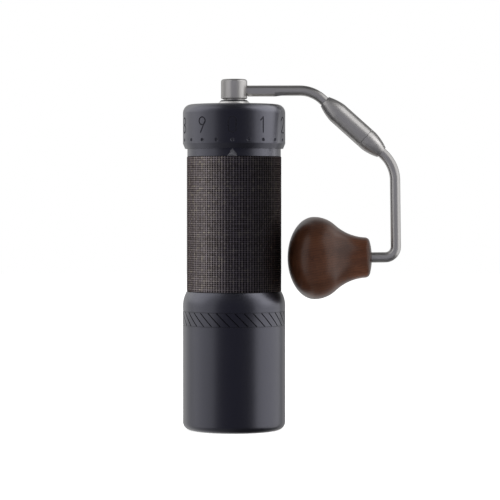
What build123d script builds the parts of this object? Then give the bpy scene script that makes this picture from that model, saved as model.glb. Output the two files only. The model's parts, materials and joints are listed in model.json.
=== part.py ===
from build123d import *
import os
from math import atan2, cos, degrees, radians, sin, sqrt

# Hand crank coffee grinder, in millimetres.
# The origin is the centre of the cup's base on the spin axis. +Z is up, -Y is the front with the
# pointer, and +X is the side that the crank leans to. The crank is folded down, as for storage.

# --- outside of the body ---
body_radius = 27.75          # grip sleeve
cup_swell = 2.25             # how far the cup stands outside the sleeve
dial_swell = 2.25            # how far the dial stands outside the sleeve
cup_rim_height = 80.8
parting_gap = 0.15           # shadow line between the cup and the sleeve
sleeve_length = 79.0
collar_exposed = 4.5         # collar that shows between sleeve and dial
dial_height = 26.0

# --- fits and clearances ---
press_fit = 0.03             # radial, between pieces of one body
running_fit = 0.08           # radial, shafts and bores that turn in each other
sliding_gap = 0.2            # between turned faces that pass each other
air_gap = 0.3                # between pieces that must never touch

# --- body tube and sleeve ---
sleeve_thickness = 1.2
tube_wall = 3.0
spigot_step = 0.3            # the spigot is this much smaller than the tube
spigot_length = 23.8
collar_step = 0.35           # the collar is this much smaller than the sleeve
collar_hidden = 2.6          # collar inside the dial's skirt
neck_length = 7.5
neck_wall = 3.45
thread_step = 2.95           # from the collar in to the neck's thread
hopper_cone = 2.5            # height of the hopper's narrowing
counterbore_step = 0.55      # seat of the burr and the spider
spigot_chamfer = 0.5
sleeve_edge_fillet = 0.4

# --- pointer ---
pointer_width = 6.4
pointer_depth = 0.3

# --- cup ---
cup_base_fillet = 4.5
cup_wall = 4.4
cup_floor = 4.0
cup_floor_fillet = 3.0
band_low = 61.3              # lower fine groove round the cup
band_height = 8.2
fine_groove = 0.45
fine_groove_depth = 0.35
slant_count = 35
slant_width = 0.6
slant_depth = 0.4
shoulder_height = 8.3        # height of the cup's rounded shoulder
keeper_thickness = 1.2
keeper_width = 5.1

# --- burrs ---
burr_height = 21.5
burr_gap = 0.3
burr_ring_width = 4.1        # ring burr's wall at its lower edge
burr_fine_height = 5.0
burr_fine_slope = 0.3        # widening downwards, per millimetre
burr_mouth_wall = 7.0        # ring burr's wall at its upper edge
cone_top_radius = 9.2
cone_flutes = 7
ring_flutes = 10
flute_radius = 2.4
fine_teeth = 36
tooth_width = 0.9
tooth_depth = 0.6
tooth_slant = 15.0           # degrees
cone_flute_twist = 28.0
ring_flute_twist = 20.0
burr_skin = 2.0              # metal left outside the ring burr's flutes
clamp_height = 3.2
clamp_width = 3.4
magnet_radius = 1.45
magnet_height = 2.0
magnet_count = 8

# --- shaft, bearings and spider ---
shaft_radius = 4.0
shaft_thread_radius = 3.0
hex_flats = 6.9
bearing_radius = 11.0
bearing_width = 7.0
ball_radius = 1.95
ball_count = 7
groove_margin = 0.1
clip_thickness = 0.9
clip_width = 1.6
clip_groove = 0.4
hub_wall = 1.8
bearing_lip = 1.2
spider_rim_height = 4.0
spider_rim_width = 2.6
bearing_seat = 2.3           # radial width of the lip that a bearing sits on
race_thickness = 2.0
spider_arm = 4.5
nut_height = 4.2
nut_flats = 10.0
washer_height = 0.9
washer_radius = 7.0
spring_wire = 0.9
spring_pocket_depth = 7.0

# --- dial and its inside ---
dial_chamfer = 1.25
dial_chamfer_height = 3.0
dial_top_fillet = 5.0
dial_travel = 2.0            # one turn of the thread
nut_wall = 1.95
nut_length = 6.2
click_ring_height = 1.5
click_ring_reach = 5.9       # radial width of the click ring
click_count = 30
click_ball_radius = 1.5
carrier_height = 3.4
carrier_wall = 1.5
lug_width = 7.0
ledge_height = 2.0
ledge_reach = 2.2
bridge_height = 3.45
bridge_rim_width = 3.1
bridge_arm = 5.0
bridge_screw_radius = 0.9
bridge_head_radius = 1.4
bridge_head_height = 1.4
recess_wall = 5.2            # from the dial's outside in to the lid's recess
digit_height = 8.8
digit_width = 4.4
digit_stroke = 0.8
digit_depth = 0.3
digit_rise = 13.55           # from the dial's lower edge to the middle of the digits
dimple_rise = 4.9
dimple_radius = 1.1
dimple_depth = 0.45
dimple_count = 20

# --- lid ---
lid_thickness = 3.3
lid_dish = 0.6
lid_chamfer = 0.6
cone_height = 2.9
cone_top = 7.6
cone_foot = 10.4
gasket_height = 1.9

# --- crank ---
hub_radius = 7.7
hub_height = 11.6
hub_gap = 0.7                # dark gap between the lid's cone and the hub
hub_neck_radius = 6.2
hub_fillet = 1.6
hub_chamfer = 0.5
socket_depth = 1.5           # how far the socket reaches up into the hub
hub_magnet_radius = 2.45
rod_radius = 3.0
arm_drop = 6.7               # from the hub's top down to the middle of the arm
arm_insert = 4.5
pressed_length = 20.0
pressed_radius = 3.2
pressed_drop = 0.25          # the pressed length hangs this much below the rod
pressed_flat = 2.75
pressed_run_out = 4.0
first_corner_x = 46.0
first_bend = 19.8
fold_slope = 42.0            # degrees that the joint's axis falls below level
corner_distance = 64.8
second_bend = 21.2
lower_arm_length = 54.25
lower_arm_lean = 0.65        # degrees
third_bend = 6.3

# --- folding joint, measured along its own axis from the first corner ---
joint_start = 9.7
joint_length = 44.6
joint_radius = 6.3
joint_taper = 10.0
joint_tip_radius = 3.6
joint_nose_flatness = 1.6    # 1 is a nose that runs tangent into the barrel, more is straighter
joint_cap_length = 12.9
joint_gap = 0.12
joint_edge_chamfer = 0.12
joint_lip = 0.5              # how far the cap's lip stands into the barrel
rod_hold = 4.8               # how deep each rod sits in its half
joint_bore_wall = 1.6
dog_pocket_depth = 2.2
dog_wall = 0.7
dog_thickness = 0.7
dog_angle = 30.0
bush_length = 6.0
joint_spindle_radius = 2.5
joint_pull = 4.0
joint_spring_length = 8.0
joint_washer_height = 0.8
joint_nut_height = 2.6
joint_nut_flats = 7.4

# --- knob ---
knob_radius = 24.1
knob_length = 49.3
knob_dome = 15.6
knob_crown = 18.0            # rounding behind the largest diameter
knob_slope = 43.0            # steepest slope of the flank, degrees
knob_neck_length = 0.47      # straight length between the flank's hollow and the end
knob_end_bulge = 1.86        # how far the end is domed
knob_end_fillet = 3.0
knob_tip_gap = 3.65          # between the folded knob and the sleeve
knob_bore = 4.0
knob_bore_floor = 14.0       # wood left at the dome
axle_radius = 2.4
bush_inset = 2.2

# --- levels, from the bottom up ---
cup_radius = body_radius + cup_swell
dial_radius = body_radius + dial_swell
sleeve_bottom = cup_rim_height + parting_gap
sleeve_top = sleeve_bottom + sleeve_length
dial_bottom = sleeve_top + collar_exposed
dial_top = dial_bottom + dial_height
collar_top = dial_bottom + collar_hidden
neck_top = collar_top + neck_length
spigot_bottom = cup_rim_height - spigot_length

# --- radii, from the outside in ---
tube_radius = body_radius - sleeve_thickness
hopper_radius = tube_radius - tube_wall
spigot_radius = tube_radius - spigot_step
collar_radius = body_radius - collar_step
thread_radius = collar_radius - thread_step
neck_bore = thread_radius - neck_wall
counterbore_radius = hopper_radius + counterbore_step

# --- levels of the burrs and bearings ---
clamp_bottom = spigot_bottom + sliding_gap
burr_bottom = clamp_bottom + clamp_height + press_fit
burr_top = burr_bottom + burr_height
spider_top = burr_top + spider_rim_height
lower_bearing = burr_top + bearing_lip
cone_top_height = burr_top - 1.0
ring_low_radius = counterbore_radius - press_fit - burr_ring_width
ring_fine_radius = ring_low_radius - burr_fine_slope * burr_fine_height
ring_top_radius = counterbore_radius - press_fit - burr_mouth_wall
cone_low_radius = ring_low_radius - burr_gap
cone_fine_radius = ring_fine_radius - burr_gap
ball_circle = (shaft_radius + bearing_radius) / 2

# --- levels inside the dial ---
ledge_bottom = neck_top + dial_travel + air_gap + click_ring_height + 0.2
ledge_top = ledge_bottom + ledge_height
bridge_bottom = ledge_top + press_fit
bridge_top = bridge_bottom + bridge_height
recess_radius = dial_radius - recess_wall
upper_bearing = bridge_top - 0.5 - bearing_width
click_ring_bottom = ledge_bottom - press_fit - click_ring_height
click_ring_bore = recess_radius - press_fit - click_ring_reach
click_circle = (neck_bore + click_ring_bore) / 2 + 1.1
carrier_top = click_ring_bottom - 2.5
nut_top = carrier_top + 1.6
nut_outer = thread_radius + running_fit + nut_wall

# --- levels of the lid and the crank ---
upper_clip = upper_bearing + bearing_width + 0.15
lower_clip = upper_bearing - clip_thickness - 0.15
hub_neck_bottom = upper_clip + clip_thickness + air_gap
lid_clip_bottom = hub_neck_bottom + air_gap
gasket_bottom = bridge_top + 0.1
lid_bottom = max(gasket_bottom + gasket_height, lid_clip_bottom + clip_thickness) + 0.1
lid_top = lid_bottom + lid_thickness + lid_dish
cone_top_level = lid_top + cone_height
hub_bottom = cone_top_level + hub_gap
hub_top = hub_bottom + hub_height
arm_height = hub_top - arm_drop
socket_top = hub_bottom + socket_depth

# --- the crank's corners, in the XZ plane ---
slope = radians(fold_slope)
lean = radians(lower_arm_lean)
first_corner = Vector(first_corner_x, 0, arm_height)
fold_direction = Vector(cos(slope), 0, -sin(slope))
second_corner = first_corner + fold_direction * corner_distance
arm_direction = Vector(sin(lean), 0, -cos(lean))
third_corner = second_corner + arm_direction * lower_arm_length
axle_direction = Vector(-cos(lean), 0, -sin(lean))
fold_place = Plane(origin=first_corner, x_dir=Vector(0, 1, 0), z_dir=fold_direction).location

# --- the joint's stations along the folding axis ---
joint_end = joint_start + joint_length
cap_start = joint_end - joint_cap_length
sleeve_end = cap_start - joint_gap
joint_bore = joint_radius - joint_bore_wall
dog_radius = joint_radius - dog_wall
dog_floor = sleeve_end - dog_pocket_depth
upper_rod_end = joint_start + rod_hold
lower_rod_start = joint_end - rod_hold
bush_end = dog_floor
bush_start = bush_end - bush_length
washer_end = bush_start - joint_spring_length
washer_start = washer_end - joint_washer_height
joint_nut_end = washer_start - 0.1
joint_nut_start = joint_nut_end - joint_nut_height

# --- the knob's place along its own axis ---
knob_tip_x = body_radius + knob_tip_gap
knob_tip_distance = (third_corner.X - knob_tip_x) / cos(lean)
knob_tip = third_corner + axle_direction * knob_tip_distance
knob_place = Plane(origin=knob_tip, x_dir=Vector(0, 1, 0), z_dir=axle_direction * -1).location
axle_tip = knob_bore_floor + 1.0
knob_clip_station = axle_tip + 0.8
bush_near_tip = knob_clip_station + clip_thickness + 0.3
bush_far_tip = knob_length - bush_inset
axle_shoulder = bush_far_tip + 0.2


# --- small helpers ---
def disc(radius, low, high):
    return Pos(0, 0, low) * Cylinder(radius, high - low, align=(Align.CENTER, Align.CENTER, Align.MIN))


def ring(outer, inner, low, high):
    return disc(outer, low, high) - disc(inner, low - 1, high + 1)


def turned(*points):
    profile = make_face(Polyline(*points, close=True))
    return revolve(Plane.XZ * profile, Axis.Z)


def around(tool, count, start=0.0):
    return [Rot(0, 0, start + 360 * turn / count) * tool for turn in range(count)]


def hexagon_bar(flats, low, high):
    face = RegularPolygon(flats / 2, 6, major_radius=False)
    return Pos(0, 0, low) * extrude(face, high - low)


def edges_at(solid, radius, level):
    rims = solid.edges().filter_by(GeomType.CIRCLE)
    return [rim for rim in rims if abs(rim.radius - radius) < 0.01 and abs(rim.arc_center.Z - level) < 0.01]


def round_rod(radius, *corners, bends):
    path = FilletPolyline(*corners, radius=bends)
    start = Plane(origin=path @ 0, z_dir=path % 0)
    return sweep(start * Circle(radius), path)


def coil(middle_radius, wire, low, high, turns):
    inner_length = high - low - wire
    path = Pos(0, 0, low + wire / 2) * Helix(inner_length / turns, inner_length, middle_radius)
    start = Plane(origin=path @ 0, z_dir=path % 0)
    return sweep(start * Circle(wire / 2), path, is_frenet=True)


# --- bearings ---
def bearing_outer(level):
    race = Torus(ball_circle, ball_radius + groove_margin)
    shell = ring(bearing_radius, bearing_radius - race_thickness, level, level + bearing_width)
    return shell - Pos(0, 0, level + bearing_width / 2) * race


def bearing_inner(level):
    race = Torus(ball_circle, ball_radius + groove_margin)
    outer = shaft_radius + race_thickness
    shell = ring(outer, shaft_radius + press_fit, level, level + bearing_width)
    return shell - Pos(0, 0, level + bearing_width / 2) * race


def bearing_balls(level):
    ball = Pos(ball_circle, 0, level + bearing_width / 2) * Sphere(ball_radius)
    return Compound(around(ball, ball_count))


# --- the cup ---
def slanted_groove():
    slab = Box(slant_width, 6, band_height * 2)
    slab = Pos(0, -cup_radius, band_low + band_height / 2) * Rot(0, -45, 0) * slab
    low = band_low + fine_groove / 2
    high = band_low + band_height - fine_groove / 2
    return slab & ring(cup_radius + 1, cup_radius - slant_depth, low, high)


def cup_shell():
    outer = disc(cup_radius, 0, cup_rim_height - shoulder_height)
    outer = fillet(edges_at(outer, cup_radius, 0), cup_base_fillet)
    rise = shoulder_height
    shoulder_radius = (rise ** 2 + cup_swell ** 2) / (2 * cup_swell)
    foot = (cup_radius, cup_rim_height - rise)
    rim = (body_radius, cup_rim_height)
    curve = RadiusArc(foot, rim, -shoulder_radius)
    rest = Polyline(rim, (0, cup_rim_height), (0, foot[1]), foot)
    outer += revolve(Plane.XZ * make_face(curve + rest), Axis.Z)
    well = disc(cup_radius - cup_wall, cup_floor, cup_rim_height + 1)
    well = fillet(edges_at(well, cup_radius - cup_wall, cup_floor), cup_floor_fillet)
    mouth = disc(spigot_radius + sliding_gap, keeper_bottom() - press_fit, cup_rim_height + 1)
    cup = outer - well - mouth
    for level in (band_low, band_low + band_height):
        low = level - fine_groove / 2
        cup -= ring(cup_radius + 1, cup_radius - fine_groove_depth, low, low + fine_groove)
    return cup - around(slanted_groove(), slant_count)


def keeper_bottom():
    return spigot_bottom - 0.15 - keeper_thickness


def keeper_ring():
    outer = spigot_radius + sliding_gap - press_fit
    return ring(outer, outer - keeper_width, keeper_bottom(), keeper_bottom() + keeper_thickness)


# --- the body tube with its collar, neck and pointer ---
def pointer_cut():
    half = pointer_width / 2
    face = make_face(Polyline((-half, 0), (half, 0), (0, collar_exposed), close=True))
    front = Plane(origin=(0, -collar_radius - 1, sleeve_top), x_dir=(1, 0, 0), z_dir=(0, -1, 0))
    shell = ring(collar_radius + 1, collar_radius - pointer_depth, sleeve_top, collar_top)
    return front * extrude(face, -3) & shell


def body_tube():
    tube = disc(spigot_radius, spigot_bottom, sleeve_bottom)
    tube += disc(tube_radius - press_fit, sleeve_bottom, sleeve_top)
    tube += disc(collar_radius, sleeve_top, collar_top)
    tube += disc(thread_radius, collar_top, neck_top)
    tube = chamfer(edges_at(tube, spigot_radius, spigot_bottom), spigot_chamfer)
    tube -= disc(counterbore_radius, spigot_bottom - 1, spider_top)
    hopper_top = collar_top - hopper_cone
    tube -= disc(hopper_radius, spider_top - 1, hopper_top)
    tube -= turned((0, hopper_top), (hopper_radius, hopper_top), (neck_bore, collar_top), (0, collar_top))
    tube -= disc(neck_bore, collar_top - 0.01, neck_top + 1)
    slot_bottom = carrier_top - carrier_height - dial_travel - 0.5
    slot_depth = lug_reach() + sliding_gap
    slot_height = neck_top - slot_bottom + 1
    slot = Box(slot_depth, lug_width + 2 * sliding_gap, slot_height)
    slot = Pos(slot_depth / 2, 0, slot_bottom + slot_height / 2) * slot
    slot = slot - disc(neck_bore - 1, slot_bottom - 1, neck_top + 2)
    tube -= around(slot, 3, 60)
    return tube - pointer_cut()


def grip_sleeve():
    top = sleeve_top - press_fit
    sleeve = ring(body_radius, tube_radius, sleeve_bottom, top)
    ends = edges_at(sleeve, body_radius, sleeve_bottom) + edges_at(sleeve, body_radius, top)
    return fillet(ends, sleeve_edge_fillet)


def lower_spider():
    low = burr_top + press_fit
    high = spider_top - press_fit
    hub_high = lower_bearing + bearing_width
    outer = counterbore_radius - press_fit
    spider = ring(outer, outer - spider_rim_width, low, high)
    spider += disc(bearing_radius + hub_wall, low, hub_high)
    reach = outer - spider_rim_width / 2
    arm = Pos(reach / 2, 0, (low + high) / 2) * Box(reach, spider_arm, high - low)
    spider += around(arm, 3, 90)
    spider -= disc(bearing_radius + press_fit, lower_bearing - press_fit, hub_high + 1)
    return spider - disc(bearing_radius - bearing_seat, low - 1, hub_high + 1)


# --- burrs ---
def flutes(low_radius, top_radius, low, high, count, twist):
    run = high - low
    lean_angle = degrees(atan2(low_radius - top_radius, run))
    tool = Cylinder(flute_radius, run * 2.2)
    middle = (low_radius + top_radius) / 2
    tool = Pos(middle, 0, (low + high) / 2) * Rot(0, -lean_angle, 0) * Rot(twist, 0, 0) * tool
    return around(tool, count)


def teeth(radius, low, high, slant):
    lean_angle = degrees(atan2(burr_fine_slope, 1))
    tool = Box(2 * tooth_depth, tooth_width, (high - low) * 1.6)
    tool = Pos(radius, 0, (low + high) / 2) * Rot(0, -lean_angle, 0) * Rot(slant, 0, 0) * tool
    return around(tool, fine_teeth)


def ring_burr():
    outer = counterbore_radius - press_fit
    fine_top = burr_bottom + burr_fine_height
    burr = turned((outer, burr_bottom), (ring_low_radius, burr_bottom), (ring_fine_radius, fine_top),
                  (ring_top_radius, burr_top), (outer, burr_top))
    low = ring_fine_radius + flute_radius / 2
    high = ring_top_radius + flute_radius * 0.9
    cutting = flutes(low, high, fine_top + 2, burr_top, ring_flutes, -ring_flute_twist)
    limit = disc(outer - burr_skin, fine_top + 1, burr_top + 1)
    burr -= [flute & limit for flute in cutting]
    middle = (ring_low_radius + ring_fine_radius) / 2
    limit = disc(outer - burr_skin, burr_bottom - 1, fine_top)
    return burr - [tooth & limit for tooth in teeth(middle, burr_bottom, fine_top, tooth_slant)]


def inner_burr():
    fine_top = burr_bottom + burr_fine_height
    burr = turned((0, burr_bottom), (cone_low_radius, burr_bottom), (cone_fine_radius, fine_top),
                  (cone_top_radius, cone_top_height), (0, cone_top_height))
    stand_off = flute_radius / 2
    low = cone_fine_radius + stand_off
    high = cone_top_radius + stand_off
    cutting = flutes(low, high, fine_top, cone_top_height, cone_flutes, cone_flute_twist)
    limit = disc(cone_low_radius + 1, fine_top + 1, burr_top + 1)
    burr -= [flute & limit for flute in cutting]
    middle = (cone_low_radius + cone_fine_radius) / 2
    limit = disc(cone_low_radius + 1, burr_bottom - 1, fine_top)
    burr -= [tooth & limit for tooth in teeth(middle, burr_bottom, fine_top, -tooth_slant)]
    burr -= disc(shaft_radius + press_fit, burr_bottom - 1, burr_top + 1)
    return burr - disc(spring_radius() + spring_wire, cone_top_height - spring_pocket_depth, burr_top + 1)


def spring_radius():
    return shaft_radius + 0.9 + spring_wire / 2


def burr_spring():
    low = cone_top_height - spring_pocket_depth + 0.1
    return coil(spring_radius(), spring_wire, low, lower_bearing - 0.05, 5)


def magnet_circle():
    return counterbore_radius - clamp_width / 2


def burr_clamp_ring():
    outer = counterbore_radius - press_fit
    clamp = ring(outer, counterbore_radius - clamp_width, clamp_bottom, clamp_bottom + clamp_height)
    pocket = disc(magnet_radius + press_fit, clamp_bottom - 1, clamp_bottom + magnet_height)
    return clamp - around(Pos(magnet_circle(), 0, 0) * pocket, magnet_count)


def clamp_magnets():
    magnet = disc(magnet_radius, clamp_bottom, clamp_bottom + magnet_height - press_fit)
    return Compound(around(Pos(magnet_circle(), 0, 0) * magnet, magnet_count))


# --- the drive shaft ---
def clip(radius, level):
    hoop = ring(radius + clip_width, radius - clip_groove + press_fit, level, level + clip_thickness)
    mouth = Pos(radius + 1, 0, level + clip_thickness / 2) * Box(2 * clip_width + 2, 2.4, clip_thickness + 1)
    return hoop - mouth


def clip_groove_cut(radius, level):
    return ring(radius + 1, radius - clip_groove, level - press_fit, level + clip_thickness + press_fit)


def shaft_bottom():
    return burr_bottom - press_fit - washer_height - nut_height - 1.0


def drive_shaft():
    shaft = disc(shaft_thread_radius, shaft_bottom(), burr_bottom)
    shaft += disc(shaft_radius, burr_bottom, upper_clip + clip_thickness + press_fit)
    shaft += hexagon_bar(hex_flats, upper_clip, socket_top - 0.4)
    shaft -= clip_groove_cut(shaft_radius, lower_clip)
    return shaft - clip_groove_cut(shaft_radius, upper_clip)


def shaft_clips():
    return Compound([clip(shaft_radius, lower_clip), clip(shaft_radius, upper_clip)])


def burr_washer():
    top = burr_bottom - press_fit
    return ring(washer_radius, shaft_thread_radius + 0.1, top - washer_height, top)


def burr_nut():
    top = burr_bottom - 2 * press_fit - washer_height
    nut = hexagon_bar(nut_flats, top - nut_height, top)
    return nut - disc(shaft_thread_radius + press_fit, top - nut_height - 1, top + 1)


# --- the click mechanism ---
def lug_reach():
    return click_circle + click_ball_radius + 0.35


def carrier_pocket_radius():
    return click_ball_radius + 0.1


def click_carrier():
    bottom = carrier_top - carrier_height
    outer = neck_bore - sliding_gap
    carrier = ring(outer, outer - carrier_wall, bottom, carrier_top)
    inner = click_circle - click_ball_radius - 0.7
    lug = Pos((inner + lug_reach()) / 2, 0, bottom + carrier_height / 2)
    lug *= Box(lug_reach() - inner, lug_width, carrier_height)
    carrier += around(lug, 3, 60)
    pocket = Pos(click_circle, 0, 0) * disc(carrier_pocket_radius(), bottom + 0.6, carrier_top + 1)
    return carrier - around(pocket, 3, 60)


def click_balls():
    level = click_ring_bottom - 0.25 - click_ball_radius
    ball = Pos(click_circle, 0, level) * Sphere(click_ball_radius)
    return Compound(around(ball, 3, 60))


def click_springs():
    low = carrier_top - carrier_height + 0.65
    high = click_ring_bottom - 0.3 - 2 * click_ball_radius
    wire = 0.35
    spring = coil(click_ball_radius - 0.4, wire, low, high, 3)
    return Compound(around(Pos(click_circle, 0, 0) * spring, 3, 60))


def click_ring():
    outer = recess_radius - press_fit
    plate = ring(outer, click_ring_bore, click_ring_bottom, click_ring_bottom + click_ring_height)
    dimple = Pos(click_circle, 0, click_ring_bottom - click_ball_radius + 0.5) * Sphere(click_ball_radius)
    plate -= around(dimple, click_count)
    return plate - screw_holes(click_ring_bottom - 1, ledge_bottom)


# --- the dial ---
def bar(start, end):
    run = Vector(*end) - Vector(*start)
    middle = Vector(*start) + run * 0.5
    turn = degrees(atan2(run.Y, run.X))
    return Pos(middle.X, middle.Y) * Rot(0, 0, turn) * SlotCenterToCenter(run.length, digit_stroke)


def bow(centre, radius, start, size):
    if size == 360:
        return Pos(*centre) * (Circle(radius + digit_stroke / 2) - Circle(radius - digit_stroke / 2))
    return SlotArc(CenterArc(centre, radius, start, size), digit_stroke)


def polar(centre, radius, angle):
    return (centre[0] + radius * cos(radians(angle)), centre[1] + radius * sin(radians(angle)))


def digit_strokes(digit):
    half = digit_width / 2
    tall = digit_height / 2
    upper = tall - half
    small = tall / 2
    if digit == 0:
        ends = [bow((0, upper), half, 0, 180), bow((0, -upper), half, 180, 180)]
        return ends + [bar((side * half, -upper), (side * half, upper)) for side in (-1, 1)]
    if digit == 1:
        return [bar((0, -tall), (0, tall)), bar((0, tall), (-half * 0.75, tall - half * 0.8))]
    if digit == 2:
        foot = bar((-half, -tall), (half, -tall))
        return [bow((0, upper), half, -35, 200), bar(polar((0, upper), half, -35), (-half, -tall)), foot]
    if digit == 3:
        return [bow((0, small), small, -90, 240), bow((0, -small), small, -150, 240)]
    if digit == 4:
        step = -tall * 0.4
        stem = half * 0.45
        slant = bar((stem, tall), (-half, step))
        return [slant, bar((-half, step), (half, step)), bar((stem, -tall), (stem, tall))]
    if digit == 5:
        bowl = (0, -upper)
        flag = (-half * 0.7, tall)
        stem = bar(flag, polar(bowl, half, 130))
        return [bow(bowl, half, -150, 280), stem, bar(flag, (half * 0.85, tall))]
    if digit == 6:
        return [bow((0, -upper), half, 0, 360), bar((-half, -upper), (half * 0.5, tall))]
    if digit == 7:
        return [bar((-half, tall), (half, tall)), bar((half, tall), (-half * 0.35, -tall))]
    if digit == 8:
        return [bow((0, small), small * 0.94, 0, 360), bow((0, -small), small, 0, 360)]
    return [bow((0, upper), half, 0, 360), bar((half, upper), (-half * 0.5, -tall))]


def digit_cut(digit):
    angle = radians(-90 + 36 * digit)
    out = Vector(cos(angle), sin(angle), 0)
    across = Vector(-sin(angle), cos(angle), 0)
    middle = out * (dial_radius - 2) + Vector(0, 0, dial_bottom + digit_rise)
    strokes = digit_strokes(digit)
    shape = strokes[0]
    for stroke in strokes[1:]:
        shape += stroke
    tool = Plane(origin=middle, x_dir=across, z_dir=out) * extrude(shape, 4)
    low = dial_bottom + digit_rise - digit_height
    return tool & ring(dial_radius + 1, dial_radius - digit_depth, low, low + 2 * digit_height)


def dimple_cut():
    reach = (dimple_radius ** 2 + dimple_depth ** 2) / (2 * dimple_depth)
    place = Pos(0, -(dial_radius - dimple_depth + reach), dial_bottom + dimple_rise)
    return place * Sphere(reach)


def dial_ring():
    dial = disc(dial_radius, dial_bottom, dial_top)
    dial = fillet(edges_at(dial, dial_radius, dial_top), dial_top_fillet)
    dial = chamfer(edges_at(dial, dial_radius, dial_bottom), dial_chamfer_height, dial_chamfer)
    skirt_top = collar_top + dial_travel + 0.5
    dial -= disc(collar_radius + air_gap, dial_bottom - 1, skirt_top)
    dial -= disc(nut_outer + press_fit, skirt_top - 1, nut_top + press_fit)
    dial -= disc(recess_radius, skirt_top, ledge_bottom)
    dial -= disc(recess_radius - ledge_reach, ledge_bottom - 1, ledge_top + 1)
    dial -= disc(recess_radius, ledge_top, dial_top + 1)
    dial -= screw_holes(ledge_bottom - 1, ledge_top + 1)
    dial -= around(dimple_cut(), dimple_count)
    for digit in range(10):
        dial -= digit_cut(digit)
    return dial


def dial_nut():
    bottom = collar_top + dial_travel + 0.8
    return ring(nut_outer, thread_radius + running_fit, bottom, min(bottom + nut_length, nut_top))


def screw_circle():
    return recess_radius - press_fit - bridge_rim_width / 2


def screw_holes(low, high):
    hole = Pos(screw_circle(), 0, 0) * disc(bridge_screw_radius + press_fit, low, high)
    return around(hole, 3, 90)


def bearing_bridge():
    outer = recess_radius - press_fit
    bridge = ring(outer, outer - bridge_rim_width, bridge_bottom, bridge_top)
    hub_low = upper_bearing - bearing_lip
    bridge += disc(bearing_radius + hub_wall, hub_low, bridge_top)
    reach = outer - 1
    arm = Pos(reach / 2, 0, bridge_bottom + bridge_height / 2) * Box(reach, bridge_arm, bridge_height)
    bridge += around(arm, 3, 90)
    bridge -= disc(bearing_radius + press_fit, upper_bearing - press_fit, bridge_top + 1)
    bridge -= disc(bearing_radius - bearing_seat, hub_low - 1, bridge_top + 1)
    head = disc(bridge_head_radius + press_fit, bridge_top - bridge_head_height, bridge_top + 1)
    head = around(Pos(screw_circle(), 0, 0) * head, 3, 90)
    return bridge - head - screw_holes(bridge_bottom - 1, bridge_top + 1)


def bridge_screws():
    head_low = bridge_top - bridge_head_height + press_fit
    screw = disc(bridge_screw_radius, click_ring_bottom + 0.2, head_low + 0.1)
    screw += disc(bridge_head_radius, head_low, bridge_top - 0.1)
    screw -= Pos(0, 0, bridge_top) * Box(3 * bridge_head_radius, 0.5, bridge_head_height)
    return Compound(around(Pos(screw_circle(), 0, 0) * screw, 3, 90))


# --- the lid ---
def lid_disc():
    outer = recess_radius - sliding_gap
    bore = hub_neck_radius + running_fit
    edge = lid_bottom + lid_thickness
    face = make_face(Polyline((bore, lid_bottom), (outer, lid_bottom), (outer, edge), (cone_foot, lid_top),
                              (cone_top, cone_top_level), (bore, cone_top_level), close=True))
    lid = revolve(Plane.XZ * face, Axis.Z)
    lid = chamfer(edges_at(lid, outer, lid_bottom), lid_chamfer)
    return chamfer(edges_at(lid, outer, edge), lid_chamfer)


def lid_gasket():
    outer = recess_radius - 0.4
    return ring(outer, outer - bridge_rim_width + 0.4, gasket_bottom, lid_bottom - press_fit)


# --- the upper half of the crank ---
def crank_hub():
    hub = disc(hub_radius, hub_bottom, hub_top)
    hub = fillet(edges_at(hub, hub_radius, hub_top), hub_fillet)
    hub = chamfer(edges_at(hub, hub_radius, hub_bottom), hub_chamfer)
    hub += disc(hub_neck_radius, hub_neck_bottom, hub_bottom + 1)
    hub -= hexagon_bar(hex_flats + 0.2, hub_neck_bottom - 1, socket_top)
    hub -= clip_groove_cut(hub_neck_radius, lid_clip_bottom)
    hub -= disc(hub_magnet_radius + press_fit, socket_top - 0.01, socket_top + magnet_height)
    bore = Pos(hub_radius - arm_insert - press_fit, 0, arm_height) * Rot(0, 90, 0)
    return hub - bore * disc(rod_radius + press_fit, 0, hub_radius + 2)


def hub_magnet():
    return disc(hub_magnet_radius, socket_top, socket_top + magnet_height - press_fit)


def upper_arm():
    start = Vector(hub_radius - arm_insert, 0, arm_height)
    end = first_corner + fold_direction * upper_rod_end
    arm = round_rod(rod_radius, start, first_corner, end, bends=first_bend)
    low = hub_radius + air_gap
    high = low + pressed_length
    swell = turned((0, low), (pressed_radius, low), (pressed_radius, high - pressed_run_out),
                   (rod_radius - pressed_drop, high), (0, high))
    arm += Pos(0, 0, arm_height - pressed_drop) * Rot(0, 90, 0) * swell
    flat_length = pressed_length - pressed_run_out
    for side in (-1, 1):
        tool = Box(flat_length, 2, 4 * rod_radius)
        arm -= Pos(low + flat_length / 2, side * (pressed_flat + 1), arm_height) * tool
    return arm


def joint_outline(tip, face):
    toward = 1 if face > tip else -1
    full = tip + toward * joint_taper
    swell = joint_radius - joint_tip_radius
    tangent_radius = (joint_taper ** 2 + swell ** 2) / (2 * swell)
    nose_radius = -toward * tangent_radius * joint_nose_flatness
    nose = RadiusArc((joint_tip_radius, tip), (joint_radius, full), nose_radius)
    rest = Polyline((joint_radius, full), (joint_radius, face), (0, face), (0, tip), (joint_tip_radius, tip))
    half = revolve(Plane.XZ * make_face(nose + rest), Axis.Z)
    return chamfer(edges_at(half, joint_radius, face), joint_edge_chamfer)


def dog(low, high, spare):
    outer = dog_radius - sliding_gap + spare
    inner = dog_radius - sliding_gap - dog_thickness - spare
    hoop = ring(outer, inner, low, high)
    half = dog_angle / 2 + degrees(spare / dog_radius)
    reach = 4 * joint_radius
    tip = (reach * cos(radians(half)), reach * sin(radians(half)))
    wedge = make_face(Polyline((0, 0), tip, (tip[0], -tip[1]), close=True))
    return hoop & Pos(0, 0, low) * extrude(wedge, high - low)


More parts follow.
